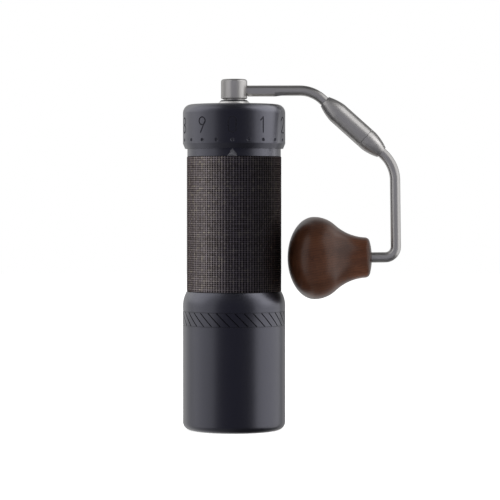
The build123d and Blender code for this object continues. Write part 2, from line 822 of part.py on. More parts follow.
def joint_sleeve():
    shell = joint_outline(joint_start, sleeve_end)
    shell -= disc(rod_radius + press_fit, joint_start - 1, upper_rod_end + press_fit)
    shell -= disc(joint_bore, joint_nut_start - 2.0, sleeve_end + 1)
    shell -= disc(dog_radius, dog_floor, sleeve_end + 1)
    shell -= around(dog(dog_floor - 1.5, dog_floor + 1, 0.15), 2)
    return fold_place * shell


def joint_bush():
    return fold_place * ring(joint_bore - press_fit, joint_spindle_radius + running_fit, bush_start, bush_end)


def joint_spring():
    middle = (joint_spindle_radius + joint_bore) / 2
    low = bush_start - joint_spring_length + joint_pull + sliding_gap
    return fold_place * coil(middle, spring_wire, low, bush_start - 0.05, 3)


def joint_washer():
    outer = joint_bore - sliding_gap
    return fold_place * ring(outer, joint_spindle_radius + running_fit, washer_start, washer_end)


# --- the lower half of the crank ---
def joint_spindle():
    return fold_place * disc(joint_spindle_radius, joint_nut_start - 0.5, lower_rod_start - press_fit)


def joint_nut():
    nut = hexagon_bar(joint_nut_flats, joint_nut_start, joint_nut_end)
    return fold_place * (nut - disc(joint_spindle_radius + press_fit, joint_nut_start - 1, joint_nut_end + 1))


def joint_cap():
    cap = joint_outline(joint_end, cap_start)
    cap -= disc(rod_radius + press_fit, lower_rod_start - press_fit, joint_end + 1)
    cap += around(dog(dog_floor + 0.4, cap_start + 0.5, 0), 2)
    lip_radius = dog_radius - sliding_gap
    cap += ring(lip_radius, lip_radius - dog_thickness, sleeve_end - joint_lip, cap_start + 0.5)
    return fold_place * (cap - disc(joint_spindle_radius + press_fit, cap_start - 1, lower_rod_start))


def lower_arm():
    start = first_corner + fold_direction * lower_rod_start
    shoulder = third_corner + axle_direction * (knob_tip_distance - axle_shoulder)
    arm = round_rod(rod_radius, start, second_corner, third_corner, shoulder, bends=[second_bend, third_bend])
    axle = disc(axle_radius, axle_tip, axle_shoulder + 1)
    axle = chamfer(edges_at(axle, axle_radius, axle_tip), 0.4)
    axle -= clip_groove_cut(axle_radius, knob_clip_station)
    return arm + knob_place * axle


def knob_clip():
    hoop = ring(knob_bore - 0.4, axle_radius - clip_groove + press_fit, knob_clip_station,
                knob_clip_station + clip_thickness)
    mouth = Pos(knob_bore, 0, knob_clip_station) * Box(2 * knob_bore, 1.8, 4)
    return knob_place * (hoop - mouth)


# --- the knob ---
def knob_profile():
    # the hollow of the flank takes up the length that the dome, crown and end leave
    flank_length = knob_length - knob_dome - knob_neck_length - knob_end_bulge
    hollow_radius = flank_length / sin(radians(knob_slope)) - knob_crown
    dome = EllipticalCenterArc((0, knob_dome), knob_radius, knob_dome, start_angle=-90, arc_size=90)
    crown = JernArc((knob_radius, knob_dome), (0, 1), knob_crown, knob_slope)
    hollow = JernArc(crown @ 1, crown % 1, hollow_radius, -knob_slope)
    neck = (hollow @ 1).X
    flank = Line(hollow @ 1, (neck, knob_length - knob_end_bulge))
    end_radius = (neck ** 2 + knob_end_bulge ** 2) / (2 * knob_end_bulge)
    end = RadiusArc(flank @ 1, (0, knob_length), -end_radius)
    axis = Line((0, knob_length), (0, 0))
    return make_face(dome + crown + hollow + flank + end + axis)


def knob_wood():
    knob = revolve(Plane.XZ * knob_profile(), Axis.Z)
    corner = [edge for edge in knob.edges().filter_by(GeomType.CIRCLE)
              if edge.arc_center.Z > knob_length - 5 and edge.radius > knob_bore]
    corner = sorted(corner, key=lambda edge: edge.arc_center.Z)[-1]
    knob = fillet([corner], knob_end_fillet)
    return knob_place * (knob - disc(knob_bore, knob_bore_floor, knob_length + 1))


def knob_bush():
    bush = ring(knob_bore - press_fit, axle_radius + running_fit, bush_near_tip, bush_far_tip)
    return knob_place * bush


pieces = {
    "body_tube": body_tube,
    "grip_sleeve": grip_sleeve,
    "lower_spider": lower_spider,
    "lower_bearing_outer": lambda: bearing_outer(lower_bearing),
    "lower_bearing_inner": lambda: bearing_inner(lower_bearing),
    "lower_bearing_balls": lambda: bearing_balls(lower_bearing),
    "ring_burr": ring_burr,
    "burr_clamp_ring": burr_clamp_ring,
    "clamp_magnets": clamp_magnets,
    "burr_spring": burr_spring,
    "click_carrier": click_carrier,
    "click_balls": click_balls,
    "click_springs": click_springs,
    "dial_ring": dial_ring,
    "dial_nut": dial_nut,
    "click_ring": click_ring,
    "bearing_bridge": bearing_bridge,
    "bridge_screws": bridge_screws,
    "upper_bearing_outer": lambda: bearing_outer(upper_bearing),
    "upper_bearing_inner": lambda: bearing_inner(upper_bearing),
    "upper_bearing_balls": lambda: bearing_balls(upper_bearing),
    "drive_shaft": drive_shaft,
    "shaft_clips": shaft_clips,
    "inner_burr": inner_burr,
    "burr_washer": burr_washer,
    "burr_nut": burr_nut,
    "lid_disc": lid_disc,
    "lid_gasket": lid_gasket,
    "lid_clip": lambda: clip(hub_neck_radius, lid_clip_bottom),
    "crank_hub": crank_hub,
    "hub_magnet": hub_magnet,
    "upper_arm": upper_arm,
    "joint_sleeve": joint_sleeve,
    "joint_bush": joint_bush,
    "joint_spring": joint_spring,
    "joint_washer": joint_washer,
    "joint_spindle": joint_spindle,
    "joint_nut": joint_nut,
    "joint_cap": joint_cap,
    "lower_arm": lower_arm,
    "knob_clip": knob_clip,
    "knob_wood": knob_wood,
    "knob_bush": knob_bush,
    "cup_shell": cup_shell,
    "keeper_ring": keeper_ring,
}

os.makedirs("parts", exist_ok=True)
for name, make in pieces.items():
    export_step(make(), "parts/" + name + ".step")
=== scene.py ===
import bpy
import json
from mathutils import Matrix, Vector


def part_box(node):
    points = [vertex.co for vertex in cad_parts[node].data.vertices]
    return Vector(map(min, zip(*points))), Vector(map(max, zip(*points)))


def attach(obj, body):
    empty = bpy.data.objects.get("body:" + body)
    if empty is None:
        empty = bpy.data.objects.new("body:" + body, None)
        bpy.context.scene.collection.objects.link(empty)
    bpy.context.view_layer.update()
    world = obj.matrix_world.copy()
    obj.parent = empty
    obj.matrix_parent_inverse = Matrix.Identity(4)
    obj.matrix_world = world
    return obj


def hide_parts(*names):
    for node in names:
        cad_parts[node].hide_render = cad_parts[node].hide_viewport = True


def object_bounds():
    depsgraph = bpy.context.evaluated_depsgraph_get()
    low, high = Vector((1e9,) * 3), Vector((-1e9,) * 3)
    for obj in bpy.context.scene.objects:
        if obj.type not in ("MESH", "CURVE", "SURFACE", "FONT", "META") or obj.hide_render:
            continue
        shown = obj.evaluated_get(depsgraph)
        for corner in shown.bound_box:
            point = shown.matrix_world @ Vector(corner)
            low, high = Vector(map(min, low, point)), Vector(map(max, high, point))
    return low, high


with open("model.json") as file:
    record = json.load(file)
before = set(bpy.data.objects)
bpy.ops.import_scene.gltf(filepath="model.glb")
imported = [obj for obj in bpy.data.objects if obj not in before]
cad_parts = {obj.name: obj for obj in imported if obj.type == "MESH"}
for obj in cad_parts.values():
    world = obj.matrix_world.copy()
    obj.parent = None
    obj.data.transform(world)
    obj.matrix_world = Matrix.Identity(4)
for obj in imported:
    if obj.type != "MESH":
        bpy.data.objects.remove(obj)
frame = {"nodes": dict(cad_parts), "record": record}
cadBounds = [list(corner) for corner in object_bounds()]

import json
import math
import random

import bmesh
import bpy
from mathutils import Vector
from mathutils import noise as clouds

mm = 0.001
scene = bpy.context.scene


# node helpers

def plug(tree, socket, value):
    if isinstance(value, bpy.types.NodeSocket):
        tree.links.new(value, socket)
    else:
        socket.default_value = value


def addNode(tree, kind, settings=None, **values):
    node = tree.nodes.new(kind)
    for name, value in (settings or {}).items():
        setattr(node, name, value)
    for name, value in values.items():
        plug(tree, node.inputs[name.replace("_", " ")], value)
    return node


def calc(tree, operation, *values):
    node = tree.nodes.new("ShaderNodeMath")
    node.operation = operation
    for socket, value in zip(node.inputs, values):
        plug(tree, socket, value)
    return node.outputs[0]


def fade(tree, value, low, high, toLow=0.0, toHigh=1.0):
    node = addNode(tree, "ShaderNodeMapRange", {"interpolation_type": "SMOOTHSTEP"})
    for name, number in (("Value", value), ("From Min", low), ("From Max", high),
                         ("To Min", toLow), ("To Max", toHigh)):
        plug(tree, node.inputs[name], number)
    return node.outputs["Result"]


def spread(tree, pattern, ends):
    return fade(tree, pattern, 0.3, 0.7, *ends)    # a noise pattern stays mostly within 0.3 to 0.7


def mixColour(tree, factor, first, second):
    node = addNode(tree, "ShaderNodeMix", {"data_type": "RGBA"})
    plug(tree, node.inputs[0], factor)
    plug(tree, node.inputs[6], first)
    plug(tree, node.inputs[7], second)
    return node.outputs[2]


def scaled(tree, vector, factor):
    node = addNode(tree, "ShaderNodeVectorMath", {"operation": "SCALE"}, Scale=factor)
    plug(tree, node.inputs[0], vector)
    return node.outputs[0]


def noise(tree, vector, scale, detail=3.0, roughness=0.5):
    node = addNode(tree, "ShaderNodeTexNoise", None, Vector=vector, Scale=scale, Detail=detail,
                   Roughness=roughness)
    return node.outputs["Fac"]


def objectPoint(tree, scale=(1, 1, 1), rotation=(0, 0, 0)):
    point = addNode(tree, "ShaderNodeTexCoord").outputs["Object"]
    mapping = addNode(tree, "ShaderNodeMapping", {"vector_type": "POINT"}, Vector=point,
                      Rotation=[math.radians(a) for a in rotation], Scale=scale)
    return mapping.outputs["Vector"]


def axes(tree):
    split = addNode(tree, "ShaderNodeSeparateXYZ", None, Vector=objectPoint(tree))
    return split.outputs["X"], split.outputs["Y"], split.outputs["Z"]


def radiusFromAxis(tree, x, y):
    return calc(tree, "SQRT", calc(tree, "ADD", calc(tree, "MULTIPLY", x, x), calc(tree, "MULTIPLY", y, y)))


def bump(tree, height, strength, distance):
    node = addNode(tree, "ShaderNodeBump", None, Height=height, Strength=strength, Distance=distance)
    return node.outputs["Normal"]


def newMaterial(name, **values):
    material = bpy.data.materials.new(name)
    material.use_nodes = True
    tree = material.node_tree
    shader = tree.nodes["Principled BSDF"]
    for socket, value in values.items():
        shader.inputs[socket.replace("_", " ")].default_value = value
    return material, tree, shader


def colour(red, green, blue):
    return (red, green, blue, 1.0)


def shades(tree, factor, dark, light):
    return mixColour(tree, factor, colour(*dark), colour(*light))


def paintOver(tree, shader, mask, shade):
    base = shader.inputs["Base Color"].links[0].from_socket
    plug(tree, shader.inputs["Base Color"], mixColour(tree, mask, base, colour(*shade)))


def rampOf(tree, factor, stops):
    node = addNode(tree, "ShaderNodeValToRGB", None, Fac=factor)
    band = node.color_ramp
    while len(band.elements) < len(stops):
        band.elements.new(0.5)
    for element, (position, shade) in zip(band.elements, stops):
        element.position = position
        element.color = colour(*shade)
    return node.outputs["Color"]


# materials

anodised = {
    "dark": (0.044, 0.044, 0.060),
    "light": (0.054, 0.054, 0.072),
    "roughness": (0.34, 0.40),
    "edgeTint": (0.60, 0.60, 0.60),
    "coatRoughness": 0.30,
    "cloud": 35.0,
    "grain": 5200.0,
    "bump": (0.25, 0.01 * mm),   # strength and depth
}


def anodisedMetal(name):
    material, tree, shader = newMaterial(name, Metallic=1.0, Specular_Tint=colour(*anodised["edgeTint"]),
                                         Coat_Weight=1.0, Coat_Roughness=anodised["coatRoughness"],
                                         Specular_IOR_Level=0.0)
    point = objectPoint(tree)
    cloud = noise(tree, point, anodised["cloud"])
    grain = noise(tree, point, anodised["grain"], 1.0)
    plug(tree, shader.inputs["Base Color"], shades(tree, cloud, anodised["dark"], anodised["light"]))
    plug(tree, shader.inputs["Roughness"], spread(tree, grain, anodised["roughness"]))
    plug(tree, shader.inputs["Normal"], bump(tree, grain, *anodised["bump"]))
    return material, tree, shader


# the cuts in the dial and the cup get dark colour, from "under" the surface inwards: ink in the dial's
# digits, painted shade in its dimples and in the cup's grooves; "share" is how far it covers the metal
cuts = {
    "dial_ring": {
        "inkAndShadeColour": (0.024, 0.024, 0.033),
        "digits": {"under": 0.06 * mm, "heights": (8.0 * mm, 19.5 * mm), "share": 1.0},
        # painted shade in the hollows of the dimples
        "dimpleShade": {"under": 0.10 * mm, "heights": (3.6 * mm, 6.2 * mm), "share": 1.0},
    },
    "cup_shell": {
        # painted shade in the cup's slanted grooves, and partly in its fine grooves
        "inkAndShadeColour": (0.004, 0.004, 0.006),
        "slantShade": {"under": 0.16 * mm, "heights": (61.52 * mm, 69.28 * mm), "share": 1.0},
        "fineGrooveShade": {"under": 0.16 * mm, "heights": (61.0 * mm, 69.8 * mm), "share": 0.35},
    },
}
cutFloor = 1.0 * mm              # nothing farther in than this is painted
paintSheen = 0.22


def cutMask(tree, nodeName, cut):
    low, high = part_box(nodeName)
    x, y, z = axes(tree)
    radius = radiusFromAxis(tree, x, y)
    mask = cut["share"]
    for test, value, limit in (("LESS_THAN", radius, high.x - cut["under"]),
                               ("GREATER_THAN", radius, high.x - cutFloor),
                               ("GREATER_THAN", z, low.z + cut["heights"][0]),
                               ("LESS_THAN", z, low.z + cut["heights"][1])):
        mask = calc(tree, "MULTIPLY", mask, calc(tree, test, value, limit))
    return mask


def inkAndShadeMetal(nodeName, look):
    material, tree, shader = anodisedMetal("anodised_" + nodeName)
    masks = [cutMask(tree, nodeName, cut) for cut in look.values() if isinstance(cut, dict)]
    inkAndShadeMask = calc(tree, "MAXIMUM", *masks)
    bare = calc(tree, "SUBTRACT", 1.0, inkAndShadeMask)
    # digit ink, and painted shade in the dimples and grooves
    paintOver(tree, shader, inkAndShadeMask, look["inkAndShadeColour"])
    plug(tree, shader.inputs["Metallic"], bare)
    plug(tree, shader.inputs["Coat Weight"], bare)
    shader.inputs["Specular IOR Level"].default_value = paintSheen
    return material


pointer = {
    "halfWidth": 3.1 * mm,
    "height": 4.5 * mm,
    "rise": 0.05 * mm,           # from the collar's lower edge up to the triangle
    "hatch": 1.04 * mm,
    "dots": (-0.4, 1.0),         # where crossing lines of -2 to 2 turn to ink
    "ink": (0.30, 0.30, 0.32),
}


def collarMetal():
    material, tree, shader = anodisedMetal("anodisedCollar")
    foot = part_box("grip_sleeve")[1].z + pointer["rise"]
    x, y, z = axes(tree)
    front = calc(tree, "LESS_THAN", y, 0.0)
    rise = calc(tree, "SUBTRACT", z, foot)
    side = calc(tree, "ABSOLUTE", x)
    slope = calc(tree, "ADD", calc(tree, "DIVIDE", side, pointer["halfWidth"]),
                 calc(tree, "DIVIDE", rise, pointer["height"]))
    inside = calc(tree, "MULTIPLY", calc(tree, "LESS_THAN", slope, 1.0),
                  calc(tree, "GREATER_THAN", rise, 0.0))
    lines = [calc(tree, "SINE", calc(tree, "MULTIPLY", calc(tree, way, x, rise), math.tau / pointer["hatch"]))
             for way in ("ADD", "SUBTRACT")]
    dots = fade(tree, calc(tree, "ADD", *lines), *pointer["dots"])
    ink = calc(tree, "MULTIPLY", calc(tree, "MULTIPLY", inside, front), dots)
    paintOver(tree, shader, ink, pointer["ink"])
    plug(tree, shader.inputs["Metallic"], calc(tree, "SUBTRACT", 1.0, ink))
    return material


plainMetal = {"metallic": 1.0, "edgeTint": 1.0, "cloud": 60.0, "bump": 0.3, "depth": 0.012 * mm}
metals = {
    "satin_steel": {"dark": (0.44, 0.428, 0.420), "light": (0.49, 0.478, 0.470), "roughness": (0.28, 0.31),
                    "grain": 5200.0, "metallic": 0.90, "edgeTint": 0.6, "bump": 0.04},
    "hub_steel": {"dark": (0.43, 0.418, 0.410), "light": (0.48, 0.468, 0.460), "roughness": (0.30, 0.36),
                  "grain": 4200.0, "metallic": 0.85, "edgeTint": 0.6, "bump": 0.12},
    "joint_steel": {"dark": (0.44, 0.428, 0.420), "light": (0.49, 0.478, 0.470), "roughness": (0.35, 0.39),
                    "grain": 5200.0, "metallic": 0.90, "edgeTint": 0.6, "bump": 0.04},
    "bare_aluminium": {"dark": (0.52, 0.52, 0.52), "light": (0.66, 0.66, 0.66), "roughness": (0.35, 0.48),
                       "grain": 1400.0},
    "burr_steel": {"dark": (0.42, 0.42, 0.42), "light": (0.56, 0.56, 0.56), "roughness": (0.26, 0.40),
                   "grain": 2200.0},
    "shaft_steel": {"dark": (0.46, 0.46, 0.46), "light": (0.58, 0.58, 0.58), "roughness": (0.25, 0.36),
                    "grain": 2400.0},
    "bearing_steel": {"dark": (0.62, 0.62, 0.62), "light": (0.74, 0.74, 0.74), "roughness": (0.12, 0.20),
                      "grain": 900.0},
    "spring_steel": {"dark": (0.28, 0.28, 0.29), "light": (0.40, 0.40, 0.41), "roughness": (0.30, 0.42),
                     "grain": 3000.0},
    "brass": {"dark": (0.62, 0.44, 0.18), "light": (0.76, 0.58, 0.27), "roughness": (0.26, 0.38),
              "grain": 1500.0},
    "magnet": {"dark": (0.56, 0.56, 0.55), "light": (0.68, 0.68, 0.67), "roughness": (0.14, 0.24),
               "grain": 800.0},
}


def workedMetal(name):
    look = {**plainMetal, **metals[name]}
    edge = look["edgeTint"]
    material, tree, shader = newMaterial(name, Metallic=look["metallic"],
                                         Specular_Tint=colour(edge, edge, edge))
    point = objectPoint(tree)
    cloud = noise(tree, point, look["cloud"])
    grain = noise(tree, point, look["grain"], 2.0, 0.6)
    plug(tree, shader.inputs["Base Color"], shades(tree, cloud, look["dark"], look["light"]))
    plug(tree, shader.inputs["Roughness"], spread(tree, grain, look["roughness"]))
    plug(tree, shader.inputs["Normal"], bump(tree, grain, look["bump"], look["depth"]))
    return material


lid = {
    "dark": (0.62, 0.61, 0.60),
    "light": (0.70, 0.69, 0.68),
    "roughness": (0.28, 0.36),
    "metallic": 0.55,
    "cloud": 60.0,
    "rings": 3600.0,             # fine rings about the axis, as a lathe leaves them
    "bump": (0.3, 0.01 * mm),
    "underHubShade": 0.95 * mm,           # painted shade: a dark band on top of the cone, where the hub shades it
    "underHubShadeBlur": 0.1 * mm,
    "underHubShadeColour": (0.012, 0.012, 0.013),
}


def lidMetal():
    material, tree, shader = newMaterial("lidTurned")
    x, y, z = axes(tree)
    ringPoint = addNode(tree, "ShaderNodeCombineXYZ", None, X=radiusFromAxis(tree, x, y), Y=0.0, Z=z)
    rings = noise(tree, ringPoint.outputs[0], lid["rings"], 2.0)
    cloud = noise(tree, objectPoint(tree), lid["cloud"])
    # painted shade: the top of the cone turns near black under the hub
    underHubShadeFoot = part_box("lid_disc")[1].z - lid["underHubShade"]
    underHubShade = fade(tree, z, underHubShadeFoot - lid["underHubShadeBlur"], underHubShadeFoot + lid["underHubShadeBlur"])
    plug(tree, shader.inputs["Base Color"], shades(tree, cloud, lid["dark"], lid["light"]))
    paintOver(tree, shader, underHubShade, lid["underHubShadeColour"])
    plug(tree, shader.inputs["Metallic"],
         calc(tree, "MULTIPLY", calc(tree, "SUBTRACT", 1.0, underHubShade), lid["metallic"]))
    plug(tree, shader.inputs["Roughness"], spread(tree, rings, lid["roughness"]))
    plug(tree, shader.inputs["Normal"], bump(tree, rings, *lid["bump"]))
    return material


walnut = {
    "dark": (0.046, 0.0150, 0.0064),
    "light": (0.094, 0.0340, 0.0150),
    "pore": (0.027, 0.009, 0.004),
    "tilt": -7.0,                # degrees that the grain falls towards the neck
    "lineGap": 0.95 * mm,        # between the fine dark lines of the grain
    "lineWander": 1.6,           # how far a line wanders, in gaps
    "lineDepth": 0.60,           # how dark the lines are
    "figure": (12.0, 120.0, 120.0),
    "fibre": (70.0, 2600.0, 2600.0),
    "pores": (160.0, 2200.0, 2200.0),
    "wander": (9.0, 60.0, 60.0),
    "streaks": (0.30, 0.62),     # figure and fibre together, from dark to light wood
    "poreEdge": (0.66, 0.74),
    # painted light and shade along the knob, as shares of its length and the tone before and after them:
    # painted shade at the round end, a painted pool of light on the neck, darker again on the rim beside the
    # rod
    "paintedLightAlong": [(0.05, 0.30, 0.68, 1.0), (0.68, 0.86, 1.0, 1.60), (0.93, 0.98, 1.0, 0.42)],
    "roughness": (0.56, 0.42),
    "bump": (0.10, 0.03 * mm),
    "coatIor": 1.36,
    "coatRoughness": 0.28,
}


def knobWood():
    material, tree, shader = newMaterial("walnutLacquered", Coat_Weight=1.0, Coat_IOR=walnut["coatIor"],
                                         Coat_Roughness=walnut["coatRoughness"], Specular_IOR_Level=0.1)
    turn = (0, walnut["tilt"], 0)
    figure = noise(tree, objectPoint(tree, walnut["figure"], turn), 1.0, 3.0, 0.5)
    fibre = noise(tree, objectPoint(tree, walnut["fibre"], turn), 1.0, 2.0)
    pores = noise(tree, objectPoint(tree, walnut["pores"], turn), 1.0, 1.0)
    wander = noise(tree, objectPoint(tree, walnut["wander"], turn), 1.0, 1.0)
    split = addNode(tree, "ShaderNodeSeparateXYZ", None, Vector=objectPoint(tree, (1, 1, 1), turn))
    rings = calc(tree, "MULTIPLY_ADD", wander, walnut["lineWander"],
                 calc(tree, "DIVIDE", split.outputs["Z"], walnut["lineGap"]))
    wave = calc(tree, "SINE", calc(tree, "MULTIPLY", rings, math.tau))
    line = fade(tree, wave, -0.4, 1.0, 0.0, walnut["lineDepth"])
    streaks = calc(tree, "ADD", calc(tree, "MULTIPLY", figure, 0.6), calc(tree, "MULTIPLY", fibre, 0.4))
    grain = calc(tree, "SUBTRACT", fade(tree, streaks, *walnut["streaks"]), line)
    wood = shades(tree, grain, walnut["dark"], walnut["light"])
    pore = fade(tree, pores, *walnut["poreEdge"])
    low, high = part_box("knob_wood")
    along = calc(tree, "DIVIDE", calc(tree, "SUBTRACT", axes(tree)[0], low.x), high.x - low.x)
    # painted light and shade along the knob: darker round end, paler neck, darker rim
    tone = 1.0
    for stretch in walnut["paintedLightAlong"]:
        tone = calc(tree, "MULTIPLY", tone, fade(tree, along, *stretch))
    lightToned = scaled(tree, mixColour(tree, pore, wood, colour(*walnut["pore"])), tone)
    plug(tree, shader.inputs["Base Color"], lightToned)
    plug(tree, shader.inputs["Roughness"], spread(tree, streaks, walnut["roughness"]))
    plug(tree, shader.inputs["Normal"], bump(tree, calc(tree, "SUBTRACT", fibre, pore), *walnut["bump"]))
    return material


gasket = {
    "dark": (0.016, 0.016, 0.017),
    "light": (0.034, 0.034, 0.035),
    "roughness": (0.52, 0.70),
    "speck": 1500.0,
    "bump": (0.2, 0.02 * mm),
}


def gasketRubber():
    material, tree, shader = newMaterial("gasketRubber")
    speck = noise(tree, objectPoint(tree), gasket["speck"])
    plug(tree, shader.inputs["Base Color"], shades(tree, speck, gasket["dark"], gasket["light"]))
    plug(tree, shader.inputs["Roughness"], spread(tree, speck, gasket["roughness"]))
    plug(tree, shader.inputs["Normal"], bump(tree, speck, *gasket["bump"]))
    return material


print("stage: materials for the carried-over pieces")
finishes = {name: workedMetal(name) for name in metals}
finishes["lid_metal"] = lidMetal()
finishes["anodised_body"] = anodisedMetal("anodisedShell")[0]
finishes["walnut"] = knobWood()
finishes["gasket"] = gasketRubber()
finishes["grip"] = finishes["gasket"]
ownFinish = {name: inkAndShadeMetal(name, look) for name, look in cuts.items()}
ownFinish["body_tube"] = collarMetal()
ownFinish["crank_hub"] = finishes["hub_steel"]
ownFinish["joint_sleeve"] = ownFinish["joint_cap"] = finishes["joint_steel"]
for subpart in frame["record"]["subparts"]:
    node = frame["nodes"][subpart["node"]]
    material = ownFinish.get(subpart["node"], finishes[subpart["material_slot"]])
    node.data.materials.clear()
    node.data.materials.append(material)


# the woven sleeve

weave = {
    "warpThreads": 104,          # upright threads round the sleeve
    "weftThreads": 62,           # level threads up the sleeve
    "stepsAround": 4,            # mesh steps across each thread
    "stepsUp": 3,
    "wall": 1.17 * mm,
    "relief": 0.26 * mm,
    "outward": 0.6,              # share of the relief outside the middle of the threads
    "roundness": 0.8,            # lower is flatter across a thread
    "hem": 0.35 * mm,            # rounding of the sleeve's two ends
    "thinnest": 0.80,            # thinnest thread, as part of the thickest
    "crossing": 0.10,            # how much the thread on top stands over the other
    "patches": 85.0,             # how closely the patches lie where one set of threads stands out
    "patchHeight": 0.16,
    "threadShare": 0.35,         # how much of the tone goes with the thread, and not with the crossing
    "seed": 11,
}


def threadCrown(position):
    return math.sin(math.pi * (position % 1.0)) ** weave["roundness"]


def threadSet(count, generator):
    return [{"lift": generator.uniform(weave["thinnest"], 1.0), "tone": generator.random()}
            for _ in range(count)]


def weaveAt(u, v, patch, warps, wefts, crossings):
    i, j = int(u) % len(warps), int(v) % len(wefts)
    over = weave["crossing"] if (i + j) % 2 else -weave["crossing"]
    swing = weave["patchHeight"] * patch
    warpTop = threadCrown(u) * (0.5 + (over + swing + 0.5) * threadCrown(v)) * warps[i]["lift"]
    weftTop = threadCrown(v) * (0.5 + (0.5 - over - swing) * threadCrown(u)) * wefts[j]["lift"]
    thread = warps[i] if warpTop > weftTop else wefts[j]
    share = weave["threadShare"]
    return max(warpTop, weftTop), share * thread["tone"] + (1 - share) * crossings[j][i]


def buildGrip():
    low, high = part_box("grip_sleeve")
    boreRadius = high.x - weave["wall"]
    generator = random.Random(weave["seed"])
    warps = threadSet(weave["warpThreads"], generator)
    wefts = threadSet(weave["weftThreads"], generator)
    crossings = [[generator.random() for _ in warps] for _ in wefts]
    rows = weave["weftThreads"] * weave["stepsUp"]
    columns = weave["warpThreads"] * weave["stepsAround"]
    outer = high.x - weave["relief"] * weave["outward"]
    form = bmesh.new()
    heights = [low.z + (high.z - low.z) * row / rows for row in range(rows + 1)]
    ends = (heights[0], heights[-1])
    wall = [form.verts.new((outer - (weave["hem"] if z in ends else 0), 0, z)) for z in heights]
    inner = [form.verts.new((boreRadius, 0, z)) for z in reversed(ends)]
    profile = wall + inner
    edges = [form.edges.new(pair) for pair in zip(profile, profile[1:] + profile[:1])]
    bmesh.ops.spin(form, geom=profile + edges, cent=(0, 0, 0), axis=(0, 0, 1), angle=math.tau, steps=columns,
                   use_merge=True)
    bmesh.ops.remove_doubles(form, verts=form.verts, dist=0.001 * mm)
    bmesh.ops.recalc_face_normals(form, faces=form.faces)
    height = form.verts.layers.float.new("threadHeight")
    tone = form.verts.layers.float.new("threadTone")
    for vert in form.verts:
        radius = vert.co.xy.length
        if radius < outer - weave["hem"] * 1.5:    # the bore stays plain
            continue
        around = (math.atan2(vert.co.y, vert.co.x) / math.tau % 1.0) * weave["warpThreads"]
        up = (vert.co.z - low.z) / (high.z - low.z) * weave["weftThreads"]
        patch = clouds.noise(vert.co * weave["patches"])
        crown, vert[tone] = weaveAt(around + 0.5 / weave["stepsAround"], up + 0.5 / weave["stepsUp"], patch,
                                    warps, wefts, crossings)
        vert[height] = crown
        vert.co.xy *= (radius + (crown - 1 + weave["outward"]) * weave["relief"]) / radius
    mesh = bpy.data.meshes.new("gripWeave")
    form.to_mesh(mesh)
    form.free()
    mesh.shade_smooth()
    piece = bpy.data.objects.new("gripWeave", mesh)
    scene.collection.objects.link(piece)
    return piece


threadLook = {
    # painted shade for the gaps between the threads
    "gap": (0.016, 0.013, 0.014),
    "tones": [(0.0, (0.145, 0.125, 0.127)), (0.3, (0.250, 0.217, 0.205)), (0.55, (0.290, 0.255, 0.268)),
              (0.8, (0.380, 0.340, 0.292)), (1.0, (0.530, 0.485, 0.440))],
    "metallic": 1.0,             # coated threads with a satin gloss
    "edgeTint": (0.25, 0.24, 0.24),
    "fibre": 1400.0,
    "cloth": 420.0,              # cloudy change of tone over a few threads
    "clothShare": 0.3,
    "crown": (0.35, 0.85),       # from the painted shade in the gaps to the full tone of the thread
    "roughness": (0.52, 0.42),
    "bump": (0.3, 0.03 * mm),
}


def threadMaterial():
    material, tree, shader = newMaterial("gripThreads", Metallic=threadLook["metallic"],
                                         Specular_Tint=colour(*threadLook["edgeTint"]))
    height = addNode(tree, "ShaderNodeAttribute", {"attribute_name": "threadHeight"}).outputs["Fac"]
    tone = addNode(tree, "ShaderNodeAttribute", {"attribute_name": "threadTone"}).outputs["Fac"]
    fibre = noise(tree, objectPoint(tree), threadLook["fibre"], 2.0)
    cloth = noise(tree, objectPoint(tree), threadLook["cloth"], 2.0)
    share = threadLook["clothShare"]
    mixTone = calc(tree, "ADD", calc(tree, "MULTIPLY", tone, 1 - share), calc(tree, "MULTIPLY", cloth, share))
    thread = rampOf(tree, mixTone, threadLook["tones"])
    crown = fade(tree, height, *threadLook["crown"])
    # painted shade between the threads, where the thread height is low
    plug(tree, shader.inputs["Base Color"], mixColour(tree, crown, colour(*threadLook["gap"]), thread))
    plug(tree, shader.inputs["Roughness"], spread(tree, fibre, threadLook["roughness"]))
    plug(tree, shader.inputs["Normal"], bump(tree, fibre, *threadLook["bump"]))
    return material


print("stage: woven sleeve")
grip = buildGrip()
grip.data.materials.append(threadMaterial())
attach(grip, "housing")
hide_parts("grip_sleeve")


# floor, world, lamps and camera

studio = {
    "floorRadius": 2.5,
    "floorDrop": 0.1 * mm,       # keeps it from lying in the cup's base
    "floorColour": (0.80, 0.80, 0.80),
    "floorGlow": 0.80,
    "soft": 0.36,                # even light from all round, for matt surfaces
    # what shiny surfaces see, from the front (-1) past the sides (0) to the backdrop (1)
    "left": [(-1.0, (0.106, 0.106, 0.150)), (-0.7, (0.17, 0.17, 0.19)), (-0.3, (0.27, 0.27, 0.28)),
             (0.1, (0.50, 0.50, 0.50)), (0.5, (0.78, 0.78, 0.78)), (0.8, (0.92, 0.92, 0.92)),
             (1.0, (0.26, 0.26, 0.26))],
    "right": [(-1.0, (0.106, 0.106, 0.150)), (-0.7, (0.08, 0.08, 0.09)), (-0.3, (0.05, 0.05, 0.06)),
              (0.3, (0.07, 0.07, 0.07)), (0.6, (0.24, 0.24, 0.24)), (0.85, (0.62, 0.62, 0.62)),
              (1.0, (0.22, 0.22, 0.22))],
    "middle": (-0.2, 0.2),       # across these the left goes over into the right
    "darkAbove": (0.60, 0.95, 1.0, 0.40),    # between these heights it falls from the one share to the other
    "darkBelow": (0.85, 1.00, 1.0, 0.40),
}


